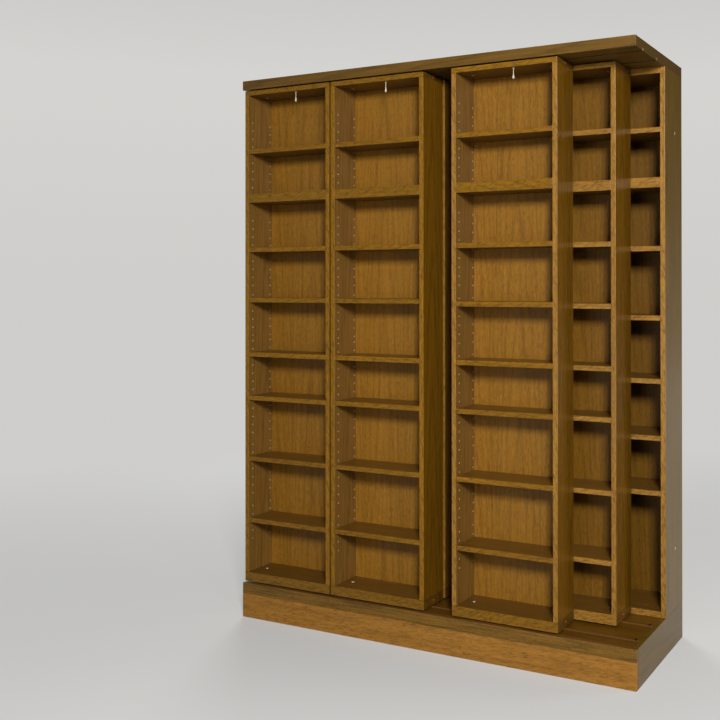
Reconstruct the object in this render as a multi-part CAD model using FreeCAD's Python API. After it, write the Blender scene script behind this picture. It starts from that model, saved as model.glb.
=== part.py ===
"""Three-row sliding bookcase: a fixed back row, and two rows of cabinets that roll in front of it.

Millimetres, +Z up, the front faces -Y. The origin is on the floor under the middle of the bookcase.
Every board, shelf, wheel, rail and fitting is a solid of its own, grouped in one STEP file per sub-part.
"""

import FreeCAD, Part
import os

Vector = FreeCAD.Vector

# Overall size
width = 1800.0
depth = 630.0
height = 2370.0

# Board thicknesses
board = 20.0
thick_board = 40.0
top_panel_thickness = 40.0
back_row_top_board = 25.0
back_row_bottom_board = 24.0
back_sheet = 4.0
back_sheet_rebate = 8.0

# Plinth under the three rows
base_height = 150.0
edge_strip_height = 47.0
bearer_count = 3

# Rows, from the front of the plinth towards the wall. The back row takes the depth that is left
front_row_setback = 6.0
front_row_depth = 165.0
front_to_middle_gap = 14.0
middle_row_depth = 188.0
middle_to_back_gap = 7.0
back_row_column_count = 4

# Rolling cabinets, and where they stand along their rails
cabinet_width = 450.0
deck_gap = 9.0
top_gap = 5.0
row_end_gap = 9.0
front_1_to_2 = 7.0
front_2_to_3 = 127.5
middle_1_to_2 = 9.0
middle_3_from_right_end = 138.0

# Undersides of the shelves of a rolling cabinet, above the cabinet's own underside
front_shelves = (1888.0, 1453.0, 1231.0, 991.0, 799.0, 531.0, 259.0)
front_3_shelves = (1888.0, 1453.0, 1222.0, 991.0, 799.0, 531.0, 259.0)
middle_shelves = (1890.0, 1454.0, 1214.0, 973.0, 776.0, 494.0, 225.0)
thick_shelf = 1671.0

# Undersides of the shelves of the back row, below its top board. Its lowest compartment is the tall one
back_shelves = (233.0, 705.0, 981.0, 1232.0, 1458.0, 1676.0)
back_thick_shelf = 452.0

# Loose shelves, the pins that carry them and the rows of holes for the pins
shelf_end_clearance = 0.5
shelf_front_setback = 2.0
shelf_rear_clearance = 1.0
pin_diameter = 6.0
pin_length = 16.0
pin_seated_length = 8.0
pin_hole_clearance = 0.1
pin_hole_spare_depth = 1.0
pin_to_shelf_clearance = 0.05
pin_pitch = 36.0
spare_hole_count = 4
bottom_spare_hole_count = 2
least_hole_spacing = 22.0
pin_front_inset = 27.0
pin_rear_inset = 16.0

# Running gear: one floor rail and one top channel per row, this far behind the row's front
track_inset = 82.5
rail_width = 10.0
rail_height = 3.7
rail_let_in = 6.0
wheel_inset = 57.0
wheel_radius = 15.0
wheel_flange = 3.0
wheel_flange_thickness = 2.0
wheel_side_play = 0.3
wheel_to_rail_gap = 0.3
axle_diameter = 6.0
axle_clearance = 0.05
axle_end_play = 1.0
housing_length = 56.0
housing_wall = 8.0
housing_roof = 4.0
housing_wheel_gap = 1.5
housing_plate = 2.4
housing_plate_margin = 5.0
stop_diameter = 12.0
stop_height = 4.7
stop_from_end = 30.0

# Top guide: a pin of each cabinet end runs in a plastic channel under the top panel
guide_pin_diameter = 8.0
guide_pin_clearance = 0.05
guide_pin_head = 12.0
guide_pin_head_thickness = 2.0
guide_pin_reach = 7.0
channel_inside = 10.0
channel_wall = 2.0

# Small fittings of the cabinets
cap_diameter = 12.0
cap_thickness = 1.5
cap_stem = 8.0
cap_stem_length = 4.5
bumper_diameter = 14.0
bumper_thickness = 3.0
lever_from_left = 260.0
lever_inset = 22.0
lever_length = 43.0
lever_diameter = 8.0
lever_tip_diameter = 10.0
lever_collar = 14.0
lever_collar_thickness = 3.0

# Fixings of the back row: caps over the screws of the end panels, and screws up into the top panel
screw_cap_diameter = 13.0
screw_cap_thickness = 1.2
screw_cap_stem = 6.0
screw_cap_stem_length = 8.0
screw_cap_heights = (393.0, 2083.0)
screw_cap_inset = 107.0
screw_diameter = 5.0
screw_clearance = 0.05
screw_head = 9.0
screw_head_thickness = 2.5
screw_grip = 25.0
screw_inset = 60.0

# Places that follow from the sizes
front_face = -depth / 2
rear_face = depth / 2
half_width = width / 2
inner_half_width = half_width - board
top_underside = height - top_panel_thickness
cabinet_bottom = base_height + deck_gap
cabinet_floor = cabinet_bottom + thick_board
cabinet_top = top_underside - top_gap
cabinet_ceiling = cabinet_top - board
deck_underside = base_height - board

front_row_front = front_face + front_row_setback
middle_row_front = front_row_front + front_row_depth + front_to_middle_gap
back_row_front = middle_row_front + middle_row_depth + middle_to_back_gap
track_lines = (front_row_front + track_inset, middle_row_front + track_inset)

front_1_left = -half_width + row_end_gap
front_2_left = front_1_left + cabinet_width + front_1_to_2
front_3_left = front_2_left + cabinet_width + front_2_to_3
middle_1_left = -half_width + row_end_gap
middle_2_left = middle_1_left + cabinet_width + middle_1_to_2
middle_3_left = half_width - middle_3_from_right_end - cabinet_width

back_row_floor = base_height + back_row_bottom_board
back_row_ceiling = top_underside - back_row_top_board
column_width = (2 * inner_half_width - (back_row_column_count - 1) * board) / back_row_column_count
column_lefts = [-inner_half_width + n * (column_width + board) for n in range(back_row_column_count)]
screw_places = [(left + column_width / 2, y) for left in column_lefts
                for y in (back_row_front + screw_inset, rear_face - screw_inset)]

pin_radius = pin_diameter / 2
rail_top = base_height + rail_height
axle_height = rail_top + wheel_to_rail_gap + wheel_radius
flange_radius = wheel_radius + wheel_flange
tread_half_width = rail_width / 2 + wheel_side_play
wheel_half_width = tread_half_width + wheel_flange_thickness
cavity_half_width = wheel_half_width + housing_wheel_gap
cavity_half_length = flange_radius + housing_wheel_gap
housing_half_width = cavity_half_width + housing_wall
housing_top = axle_height + flange_radius + housing_wheel_gap + housing_roof
channel_outside = channel_inside + 2 * channel_wall


def box(corner, opposite):
    """A board between two opposite corners, given in any order."""
    low = [min(pair) for pair in zip(corner, opposite)]
    size = [abs(a - b) for a, b in zip(corner, opposite)]
    return Part.makeBox(*size, Vector(*low))


def rod(diameter, length, start, axis):
    """A round bar from its start along an axis."""
    return Part.makeCylinder(diameter / 2, length, Vector(*start), Vector(*axis))


def save(name, solids):
    """One STEP file for a sub-part: a single solid, or a group of separate ones."""
    shape = solids[0] if len(solids) == 1 else Part.makeCompound(solids)
    shape.exportStep("parts/" + name + ".step")


# ---------------------------------------------------------------- uprights, shelves and their pins


def pin_height(shelf_underside):
    """The middle of the pins that carry a shelf."""
    return shelf_underside - pin_to_shelf_clearance - pin_radius


def hole_heights(shelf_undersides, boards):
    """Heights of one column of pin holes: the ones in use, then spare ones below and above them.

    boards holds the lowest and highest level of each fixed board that the spare holes keep clear of.
    """
    used = [pin_height(level) for level in shelf_undersides]
    heights = list(used)
    for seat in used:
        below = bottom_spare_hole_count if seat == min(used) else spare_hole_count
        for step in range(-below, spare_hole_count + 1):
            z = seat + step * pin_pitch
            beside_another = any(abs(z - other) < least_hole_spacing for other in heights)
            behind_board = any(low - pin_diameter < z < high + pin_diameter for low, high in boards)
            if not beside_another and not behind_board:
                heights.append(z)
    return heights


def pin_columns(front, rear):
    """The two places, in depth, at which the shelf pins of a row stand."""
    return front + pin_front_inset, rear - pin_rear_inset


def drill(panel, face, inward, columns, heights):
    """Blind pin holes in an upright, from its face at X = face. inward is +1 or -1, along X."""
    hole_depth = pin_seated_length + pin_hole_spare_depth
    diameter = pin_diameter + 2 * pin_hole_clearance
    holes = [rod(diameter, hole_depth, (face, y, z), (inward, 0, 0)) for y in columns for z in heights]
    return panel.cut(Part.makeCompound(holes))


def outer_upright(inner, outer, front, rear, low, high, heights):
    """A side panel between its inner and outer faces, rebated for the back sheet, with pin holes."""
    outward = 1 if outer > inner else -1
    panel = box((inner, front, low), (outer, rear, high))
    rebate = box((inner, rear - back_sheet, low), (inner + outward * back_sheet_rebate, rear, high))
    return drill(panel.cut(rebate), inner, outward, pin_columns(front, rear), heights)


def loose_shelves(left, right, front, rear, shelf_undersides):
    """The loose shelves between two uprights, in front of the back sheet."""
    shelf_left = left + shelf_end_clearance
    shelf_right = right - shelf_end_clearance
    shelf_front = front + shelf_front_setback
    shelf_rear = rear - back_sheet - shelf_rear_clearance
    return [box((shelf_left, shelf_front, level), (shelf_right, shelf_rear, level + board))
            for level in shelf_undersides]


def shelf_pins(left, right, front, rear, shelf_undersides):
    """Four pins under each loose shelf, standing out of the uprights' faces."""
    pins = []
    for level in shelf_undersides:
        z = pin_height(level)
        for y in pin_columns(front, rear):
            pins.append(rod(pin_diameter, pin_length, (left - pin_seated_length, y, z), (1, 0, 0)))
            pins.append(rod(pin_diameter, pin_length, (right + pin_seated_length, y, z), (-1, 0, 0)))
    return pins


# ---------------------------------------------------------------- running gear and small fittings


def wheel(x, y):
    """A wheel with a flange each side of its tread, moulded in one with its axle along Y."""
    tread = rod(2 * wheel_radius, 2 * wheel_half_width, (x, y - wheel_half_width, axle_height), (0, 1, 0))
    solid = tread
    for flange_start in (y - wheel_half_width, y + tread_half_width):
        flange = rod(2 * flange_radius, wheel_flange_thickness, (x, flange_start, axle_height), (0, 1, 0))
        solid = solid.fuse(flange)
    half_axle = housing_half_width - axle_end_play
    axle = rod(axle_diameter, 2 * half_axle, (x, y - half_axle, axle_height), (0, 1, 0))
    return solid.fuse(axle).removeSplitter()


def wheel_housing(x, y):
    """The housing of one wheel: a block let into the bottom board, with a plate under the board."""
    half_length = housing_length / 2
    plate_half_width = housing_half_width + housing_plate_margin
    plate_low = cabinet_bottom - housing_plate
    block = box((x - half_length, y - housing_half_width, cabinet_bottom),
                (x + half_length, y + housing_half_width, housing_top))
    plate = box((x - half_length, y - plate_half_width, plate_low),
                (x + half_length, y + plate_half_width, cabinet_bottom))
    cavity = box((x - cavity_half_length, y - cavity_half_width, plate_low),
                 (x + cavity_half_length, y + cavity_half_width, housing_top - housing_roof))
    bore = rod(axle_diameter + 2 * axle_clearance, 2 * plate_half_width,
               (x, y - plate_half_width, axle_height), (0, 1, 0))
    return block.fuse(plate).cut(cavity).cut(bore).removeSplitter()


def housing_pocket(x, y):
    """What a wheel housing, and the stem of the cap above it, take out of the bottom board."""
    half_length = housing_length / 2
    pocket = box((x - half_length, y - housing_half_width, cabinet_bottom),
                 (x + half_length, y + housing_half_width, housing_top))
    return pocket.fuse(rod(cap_stem, cabinet_floor - housing_top, (x, y, housing_top), (0, 0, 1)))


def adjuster_cap(x, y):
    """The cap on the bottom board that covers the height screw of the wheel below."""
    stem = rod(cap_stem, cap_stem_length, (x, y, cabinet_floor - cap_stem_length), (0, 0, 1))
    disc = rod(cap_diameter, cap_thickness, (x, y, cabinet_floor), (0, 0, 1))
    return stem.fuse(disc).removeSplitter()


def guide_pin(x, y):
    """The pin that stands out of a cabinet's top board, into the channel above."""
    head_low = cabinet_ceiling - guide_pin_head_thickness
    shank_length = top_underside + guide_pin_reach - cabinet_ceiling
    head = rod(guide_pin_head, guide_pin_head_thickness, (x, y, head_low), (0, 0, 1))
    shank = rod(guide_pin_diameter, shank_length, (x, y, cabinet_ceiling), (0, 0, 1))
    return head.fuse(shank).removeSplitter()


def guide_lever(x, y):
    """The white lever that hangs behind the front edge of a front cabinet's top board."""
    tip_radius = lever_tip_diameter / 2
    tip_height = cabinet_ceiling - lever_length + tip_radius
    collar_low = cabinet_ceiling - lever_collar_thickness
    collar = rod(lever_collar, lever_collar_thickness, (x, y, collar_low), (0, 0, 1))
    stem = Part.makeCone(tip_radius, lever_diameter / 2, collar_low - tip_height,
                         Vector(x, y, tip_height), Vector(0, 0, 1))
    tip = Part.makeSphere(tip_radius, Vector(x, y, tip_height))
    return collar.fuse(stem).fuse(tip).removeSplitter()


# ---------------------------------------------------------------- rolling cabinets


def cabinet(name, left, front, row_depth, shelves, has_lever):
    """All the pieces of one rolling cabinet, from its left front corner."""
    right = left + cabinet_width
    rear = front + row_depth
    inner_left = left + board
    inner_right = right - board
    sheet_front = rear - back_sheet
    track = front + track_inset
    thick_low = cabinet_bottom + thick_shelf
    thick_high = thick_low + thick_board
    undersides = [cabinet_bottom + rise for rise in shelves]
    wheel_places = (left + wheel_inset, right - wheel_inset)
    heights = hole_heights(undersides, [(thick_low, thick_high), (cabinet_ceiling, cabinet_top)])

    save(name + "_side_panels",
         [outer_upright(inner, outer, front, rear, cabinet_floor, cabinet_ceiling, heights)
          for inner, outer in ((inner_left, left), (inner_right, right))])

    bottom = box((left, front, cabinet_bottom), (right, rear, cabinet_floor))
    top = box((left, front, cabinet_ceiling), (right, rear, cabinet_top))
    for x in wheel_places:
        bottom = bottom.cut(housing_pocket(x, track))
        pin_hole = guide_pin_diameter + 2 * guide_pin_clearance
        top = top.cut(rod(pin_hole, board, (x, track, cabinet_ceiling), (0, 0, 1)))
    thick = box((inner_left, front, thick_low), (inner_right, sheet_front, thick_high))
    save(name + "_top_bottom_and_thick_shelf", [top, thick, bottom])

    save(name + "_loose_shelves", loose_shelves(inner_left, inner_right, front, rear, undersides))

    save(name + "_back_sheet", [box((inner_left - back_sheet_rebate, sheet_front, cabinet_floor),
                                    (inner_right + back_sheet_rebate, rear, cabinet_ceiling))])

    fittings = shelf_pins(inner_left, inner_right, front, rear, undersides)
    for x in wheel_places:
        fittings.append(wheel_housing(x, track))
        fittings.append(adjuster_cap(x, track))
        fittings.append(guide_pin(x, track))
    for z in (cabinet_top - board / 2, cabinet_bottom + thick_board / 2):
        fittings.append(rod(bumper_diameter, bumper_thickness, (right, track, z), (1, 0, 0)))
    if has_lever:
        fittings.append(guide_lever(left + lever_from_left, front + lever_inset))
    save(name + "_fittings", fittings)

    for side, x in zip(("left", "right"), wheel_places):
        save(name + "_" + side + "_wheel", [wheel(x, track)])


# ---------------------------------------------------------------- plinth, deck and floor rails


def plinth():
    """The boards that stand on the floor, the deck's edge strip and the bearers under the deck."""
    strip_low = base_height - edge_strip_height
    behind_front = front_face + board
    rear_board_front = rear_face - board
    save("plinth_front_board", [box((-half_width, front_face, 0), (half_width, behind_front, strip_low))])
    save("deck_edge_strip", [box((-half_width, front_face, strip_low),
                                 (half_width, behind_front, base_height))])
    save("plinth_side_boards", [box((end * inner_half_width, behind_front, 0),
                                    (end * half_width, rear_face, base_height)) for end in (-1, 1)])
    hidden = [box((-inner_half_width, rear_board_front, 0), (inner_half_width, rear_face, deck_underside))]
    for number in range(1, bearer_count + 1):
        left = -half_width + width * number / (bearer_count + 1) - board / 2
        hidden.append(box((left, behind_front, 0), (left + board, rear_board_front, deck_underside)))
    save("plinth_rear_board_and_bearers", hidden)


def deck_and_rails():
    """The deck under all three rows, the two rails let into it and the stops on the rails' ends."""
    deck = box((-inner_half_width, front_face + board, deck_underside),
               (inner_half_width, rear_face, base_height))
    rails = []
    stops = []
    for y in track_lines:
        rail = box((-inner_half_width, y - rail_width / 2, base_height - rail_let_in),
                   (inner_half_width, y + rail_width / 2, rail_top))
        deck = deck.cut(rail)
        rails.append(rail)
        for end in (-1, 1):
            x = end * (half_width - stop_from_end)
            stops.append(rod(stop_diameter, stop_height, (x, y, rail_top), (0, 0, 1)))
    save("deck", [deck])
    save("floor_rails", rails)
    save("rail_end_stops", stops)


# ---------------------------------------------------------------- fixed back row and top panel


def back_row():
    """The fixed row against the wall, which stands on the plinth and carries the top panel."""
    sheet_front = rear_face - back_sheet
    thick_low = back_row_ceiling - back_thick_shelf
    thick_high = thick_low + thick_board
    undersides = [back_row_ceiling - drop for drop in back_shelves]
    heights = hole_heights(undersides, [(thick_low, thick_high), (back_row_ceiling, top_underside)])
    columns = pin_columns(back_row_front, rear_face)

    end_panels = []
    pins_and_caps = []
    for end in (-1, 1):
        panel = outer_upright(end * inner_half_width, end * half_width, back_row_front, rear_face,
                              base_height, top_underside, heights)
        for z in screw_cap_heights:
            face = (end * half_width, rear_face - screw_cap_inset, z)
            stem = rod(screw_cap_stem, screw_cap_stem_length, face, (-end, 0, 0))
            cap = stem.fuse(rod(screw_cap_diameter, screw_cap_thickness, face, (-end, 0, 0)))
            panel = panel.cut(cap)
            pins_and_caps.append(cap.removeSplitter())
        end_panels.append(panel)
    save("back_row_end_panels", end_panels)

    dividers = []
    for left in column_lefts[1:]:
        divider = box((left - board, back_row_front, back_row_floor), (left, sheet_front, back_row_ceiling))
        divider = drill(divider, left - board, 1, columns, heights)
        dividers.append(drill(divider, left, -1, columns, heights))
    save("back_row_dividers", dividers)

    bottom = box((-inner_half_width, back_row_front, base_height),
                 (inner_half_width, sheet_front, back_row_floor))
    top = box((-inner_half_width, back_row_front, back_row_ceiling),
              (inner_half_width, sheet_front, top_underside))
    save("back_row_top_and_bottom", [top.cut(screws(screw_clearance)), bottom])

    save("back_row_thick_shelves",
         [box((left, back_row_front, thick_low), (left + column_width, sheet_front, thick_high))
          for left in column_lefts])

    shelves = []
    for left in column_lefts:
        right = left + column_width
        shelves += loose_shelves(left, right, back_row_front, rear_face, undersides)
        pins_and_caps += shelf_pins(left, right, back_row_front, rear_face, undersides)
    save("back_row_loose_shelves", shelves)
    save("back_row_pins_and_caps", pins_and_caps)

    save("back_row_back_sheet", [box((-inner_half_width - back_sheet_rebate, sheet_front, base_height),
                                     (inner_half_width + back_sheet_rebate, rear_face, top_underside))])


def screws(clearance):
    """The screws up through the back row's top board into the top panel, or the holes for them."""
    length = top_underside + screw_grip - back_row_ceiling
    solids = []
    for x, y in screw_places:
        start = (x, y, back_row_ceiling)
        head = rod(screw_head + 2 * clearance, screw_head_thickness, start, (0, 0, 1))
        shank = rod(screw_diameter + 2 * clearance, length, start, (0, 0, 1))
        solids.append(head.fuse(shank).removeSplitter())
    return Part.makeCompound(solids)


def top_panel():
    """The top panel, which reaches out over the rolling rows, its edge strip and the channels under it."""
    behind_strip = front_face + board
    save("top_edge_strip", [box((-half_width, front_face, top_underside),
                                (half_width, behind_strip, height))])
    panel = box((-half_width, behind_strip, top_underside), (half_width, rear_face, height))
    channels = []
    for y in track_lines:
        outside = box((-half_width, y - channel_outside / 2, top_underside),
                      (half_width, y + channel_outside / 2, top_underside + channel_inside + channel_wall))
        inside = box((-half_width, y - channel_inside / 2, top_underside),
                     (half_width, y + channel_inside / 2, top_underside + channel_inside))
        panel = panel.cut(outside)
        channels.append(outside.cut(inside))
    save("top_panel", [panel.cut(screws(screw_clearance))])
    save("top_guide_channels", channels)
    save("top_panel_screws", screws(0).Solids)


# ---------------------------------------------------------------- the whole bookcase

os.makedirs("parts", exist_ok=True)

plinth()
deck_and_rails()
back_row()
top_panel()

cabinet("front_cabinet_1", front_1_left, front_row_front, front_row_depth, front_shelves, True)
cabinet("front_cabinet_2", front_2_left, front_row_front, front_row_depth, front_shelves, True)
cabinet("front_cabinet_3", front_3_left, front_row_front, front_row_depth, front_3_shelves, True)
cabinet("middle_cabinet_1", middle_1_left, middle_row_front, middle_row_depth, middle_shelves, False)
cabinet("middle_cabinet_2", middle_2_left, middle_row_front, middle_row_depth, middle_shelves, False)
cabinet("middle_cabinet_3", middle_3_left, middle_row_front, middle_row_depth, middle_shelves, False)
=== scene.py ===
"""The sliding bookcase: a fixed back row, and two rows of cabinets that roll on rails in front of it.

Oak-pattern foil on board, nylon running gear and small pale fittings, in metres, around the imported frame.
"""
import bmesh
import bpy
import math
import random
from mathutils import Matrix, Vector


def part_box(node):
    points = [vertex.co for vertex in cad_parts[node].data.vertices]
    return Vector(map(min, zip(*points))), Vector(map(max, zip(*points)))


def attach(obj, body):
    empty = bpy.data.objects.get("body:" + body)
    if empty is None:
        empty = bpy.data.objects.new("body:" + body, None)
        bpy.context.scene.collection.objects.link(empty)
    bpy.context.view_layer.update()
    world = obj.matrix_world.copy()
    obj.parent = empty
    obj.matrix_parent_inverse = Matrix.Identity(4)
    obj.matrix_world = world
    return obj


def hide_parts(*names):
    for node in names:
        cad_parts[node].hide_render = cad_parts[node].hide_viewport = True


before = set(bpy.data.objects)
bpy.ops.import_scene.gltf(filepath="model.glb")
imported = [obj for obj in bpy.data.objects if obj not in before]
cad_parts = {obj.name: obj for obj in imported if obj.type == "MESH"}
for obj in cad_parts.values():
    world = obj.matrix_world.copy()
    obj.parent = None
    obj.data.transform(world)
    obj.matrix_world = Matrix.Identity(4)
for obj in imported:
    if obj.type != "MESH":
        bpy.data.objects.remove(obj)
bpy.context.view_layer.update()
X, Y, Z = 0, 1, 2


# ---------------- plinth front board
# The kick board that stands on the floor under the front of the deck. It is chipboard in an orange-tan
# oak foil with short dark flecks and a faint figure, and it is screwed to the side boards.

kick_colours = ((119, 78, 23), (179, 125, 51))
kick_edge = 0.0010


def linear(colour):
    """A colour in 0 to 255 sRGB, as the linear values that a shader takes."""
    parts = [c / 255 for c in colour]
    return [p / 12.92 if p < 0.04045 else ((p + 0.055) / 1.055) ** 2.4 for p in parts] + [1.0]


class Finish:
    """A material, or the room's light, while it is built up from nodes."""

    def __init__(self, name, room=None):
        self.material = room or bpy.data.materials.new(name)
        self.material.use_nodes = True
        self.nodes = self.material.node_tree.nodes
        self.links = self.material.node_tree.links
        self.shader = self.nodes["Background" if room else "Principled BSDF"]

    def set(self, node, inputs):
        """Gives a node's inputs a value each, or a link from another node's output."""
        for socket, value in inputs.items():
            if isinstance(value, bpy.types.NodeSocket):
                self.links.new(value, node.inputs[socket])
            else:
                node.inputs[socket].default_value = value
        return node

    def add(self, kind, inputs, **settings):
        """A new node of that kind."""
        node = self.nodes.new("ShaderNode" + kind)
        for name, value in settings.items():
            setattr(node, name, value)
        return self.set(node, inputs)

    def number(self, operation, *numbers):
        """The result of one sum on numbers or outputs."""
        return self.add("Math", dict(enumerate(numbers)), operation=operation).outputs[0]

    def between(self, value, low, high, out_low=0.0, out_high=1.0):
        """A value spread from one range to another, and held inside it."""
        inputs = {"Value": value, "From Min": low, "From Max": high, "To Min": out_low, "To Max": out_high}
        return self.add("MapRange", inputs).outputs["Result"]

    def mix(self, share, first, second, how="MIX"):
        """Two colours mixed."""
        inputs = {0: share, 6: first, 7: second}
        return self.add("Mix", inputs, data_type="RGBA", blend_type=how).outputs[2]

    def tint(self, share, colours):
        """A mix of a finish's darker and lighter colour."""
        return self.mix(share, linear(colours[0]), linear(colours[1]))

    def scaled(self, place, factors):
        """A place multiplied along X, Y and Z."""
        return self.add("VectorMath", {0: place, 1: factors}, operation="MULTIPLY").outputs[0]

    def noise(self, place, waves, detail, roughness=0.5):
        """Soft noise, with so many waves to a metre along X, Y and Z."""
        inputs = {"Vector": self.scaled(place, waves), "Scale": 1.0, "Detail": detail, "Roughness": roughness}
        return self.add("TexNoise", inputs).outputs["Fac"]

    def grained(self, place, along, across, lengthways, detail, roughness=0.5):
        """Noise drawn out along the grain, with so many waves to a metre across it and along it."""
        waves = [across, across, across]
        waves[along] = lengthways
        return self.noise(place, waves, detail, roughness)

    def board_place(self):
        """The place on the piece, moved by each board's own shift, so that no two boards look alike."""
        here = self.add("TexCoord", {}).outputs["Object"]
        shift = self.add("Attribute", {}, attribute_name="board_shift").outputs["Vector"]
        return self.add("VectorMath", {0: here, 1: shift}, operation="ADD").outputs[0]

    def finished(self, surface, height, depth):
        """The material, once its surface values and its fine relief are set."""
        bump = self.add("Bump", {"Height": height, "Strength": 1.0, "Distance": depth})
        self.set(self.shader, {**surface, "Normal": bump.outputs["Normal"]})
        return self.material


def ring_of(bm, outline, axis, level):
    """New corners of an outline across an axis, which is given as pairs of the other two."""
    others = [a for a in (X, Y, Z) if a != axis]
    corners = []
    for first, second in outline:
        place = [0.0, 0.0, 0.0]
        place[axis], place[others[0]], place[others[1]] = level, first, second
        corners.append(bm.verts.new(place))
    return corners


def wall(bm, one, other):
    """Joins two rings of corners with faces. Either ring may be a single point."""
    sides = max(len(one), len(other))
    for i in range(sides):
        j = (i + 1) % sides
        corners = (one[i % len(one)], one[j % len(one)], other[j % len(other)], other[i % len(other)])
        bm.faces.new(list(dict.fromkeys(corners)))


def facing_out(bm):
    """The same solid with all its faces looking out of it."""
    bmesh.ops.recalc_face_normals(bm, faces=bm.faces)
    return bm


def prism(outline, axis, low, high):
    """A closed bar: an outline across an axis, drawn out along it."""
    bm = bmesh.new()
    near, far = ring_of(bm, outline, axis, low), ring_of(bm, outline, axis, high)
    bm.faces.new(near)
    bm.faces.new(far)
    wall(bm, near, far)
    return facing_out(bm)


def rounded(bm, radius, segments=2):
    """The same solid with its sharp edges rounded."""
    sharp = [e for e in bm.edges if e.calc_face_angle(0) > math.radians(30)]
    bmesh.ops.bevel(bm, geom=sharp, offset=radius, offset_type="OFFSET", segments=segments, profile=0.5,
                    affect="EDGES", clamp_overlap=False)
    return bm


def rectangle(left, front, right, rear):
    """The outline of a rectangle."""
    return [(left, front), (right, front), (right, rear), (left, rear)]


def plank(low, high, radius):
    """A plain rectangular board between two corners, with its edges softened."""
    return rounded(prism(rectangle(low[X], low[Y], high[X], high[Y]), Z, low[Z], high[Z]), radius)


board_draw = random.Random(41)


def shift_and_tone(bm):
    """Gives one board its own place in the printed pattern, and a slightly lighter or darker tone."""
    shift = Vector([board_draw.uniform(-9, 9) for _ in range(3)])
    tone = board_draw.uniform(-1, 1)
    shifts = bm.verts.layers.float_vector.new("board_shift")
    tones = bm.verts.layers.float.new("board_tone")
    for vert in bm.verts:
        vert[shifts] = shift
        vert[tones] = tone


def put_on(name, boards, materials, body, replaced=(), front_material=None):
    """Joins finished boards in one piece, which rides on a body and stands for CAD nodes.

    Faces that look to the front take the material front_material, by its place in the list.
    """
    mesh = bpy.data.meshes.new(name)
    whole = bmesh.new()
    for bm in boards:
        shift_and_tone(bm)
        for face in facing_out(bm).faces:
            if front_material is not None and face.normal.y < -0.5:
                face.material_index = front_material
        part = bpy.data.meshes.new("part")
        bm.to_mesh(part)
        bm.free()
        whole.from_mesh(part)
        bpy.data.meshes.remove(part)
    whole.to_mesh(mesh)
    whole.free()
    for material in materials:
        mesh.materials.append(material)
    piece = bpy.data.objects.new(name, mesh)
    bpy.context.scene.collection.objects.link(piece)
    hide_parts(*replaced)
    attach(piece, body)
    return piece


class Grain:
    """The look of one printed oak: waves to a metre of its patterns, and how dark they are."""

    streak = 130
    fibre, run = 640, 12
    pore, pore_run, pore_depth = 1500, 70, 0.35
    fleck, fleck_size, slant = 0.08, 420, 0.0
    ring_slope, ring_curve, ring_depth = 2.0, 240, 0.30
    contrast = 1.0

    def __init__(self, **changes):
        vars(self).update(changes)


plain_grain = Grain()
satin = 0.25
arch_half_width = 0.105
arch_waver = 0.05
ring_roughness = 0.9
fleck_stretch = 6
tone_range = 0.07
foil_relief = 0.00008


def arched_figure(finish, place, along, grain):
    """Growth rings of a plain-sawn board: pointed arches down its middle, straight lines at its sides."""
    axes = finish.add("SeparateXYZ", {"Vector": place}).outputs
    sides = [axes[a] for a in (X, Y, Z) if a != along]
    across = finish.number("PINGPONG", finish.number("ADD", *sides), arch_half_width)
    waver = finish.grained(place, along, 14, 1.6, 2)
    across = finish.number("MULTIPLY_ADD", waver, arch_waver, across)
    bow = finish.number("MULTIPLY", finish.number("MULTIPLY", across, across), grain.ring_curve)
    rise = finish.number("MULTIPLY", axes[along], grain.ring_slope)
    rough = finish.number("MULTIPLY", finish.grained(place, along, 160, 7, 2), ring_roughness)
    phase = finish.number("FRACT", finish.number("ADD", finish.number("ADD", bow, rise), rough))
    early = finish.between(phase, 0.0, 0.22, 1.0, 0.0)
    late = finish.between(phase, 0.80, 1.0)
    return finish.number("MAXIMUM", early, late)


def oak_foil(name, along, colours, roughness=0.40, grain=plain_grain, gloss_level=satin):
    """Satin foil printed with oak, whose grain runs along X, Y or Z."""
    finish = Finish(name)
    place = finish.board_place()
    broad = finish.grained(place, along, 17, 0.8, 2)
    streaks = finish.grained(place, along, grain.streak, 2.2, 3, 0.6)
    fibres = finish.grained(place, along, grain.fibre, grain.run, 2, 0.6)
    tilted = finish.add("VectorRotate", {"Vector": place, "Angle": grain.slant}, rotation_type="Y_AXIS")
    flecks = finish.grained(tilted.outputs[0], along, grain.fleck_size, grain.fleck_size / fleck_stretch, 1)
    flecks = finish.between(flecks, 0.54, 0.62)
    pores = finish.between(finish.grained(place, along, grain.pore, grain.pore_run, 1), 0.60, 0.70)
    rings = arched_figure(finish, place, along, grain)
    share = finish.number("MULTIPLY", broad, 0.15)
    share = finish.number("MULTIPLY_ADD", streaks, 0.40, share)
    share = finish.number("MULTIPLY_ADD", fibres, 0.45, share)
    half_range = 0.16 / grain.contrast
    colour = finish.tint(finish.between(share, 0.5 - half_range, 0.5 + half_range), colours)
    tone = finish.add("Attribute", {}, attribute_name="board_tone").outputs["Fac"]
    light = finish.number("MULTIPLY_ADD", tone, tone_range, 1.0)
    for pattern, depth in ((rings, grain.ring_depth), (pores, grain.pore_depth), (flecks, grain.fleck)):
        shade = finish.number("MULTIPLY", pattern, depth)
        light = finish.number("MULTIPLY", light, finish.number("SUBTRACT", 1.0, shade))
    shade = finish.add("CombineColor", {0: light, 1: light, 2: light}).outputs[0]
    colour = finish.mix(1.0, colour, shade, "MULTIPLY")
    gloss = finish.number("MULTIPLY_ADD", fibres, 0.16, roughness - 0.08)
    return finish.finished({"Base Color": colour, "Roughness": gloss, "Specular IOR Level": gloss_level},
                           finish.number("SUBTRACT", fibres, pores), foil_relief)


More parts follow.
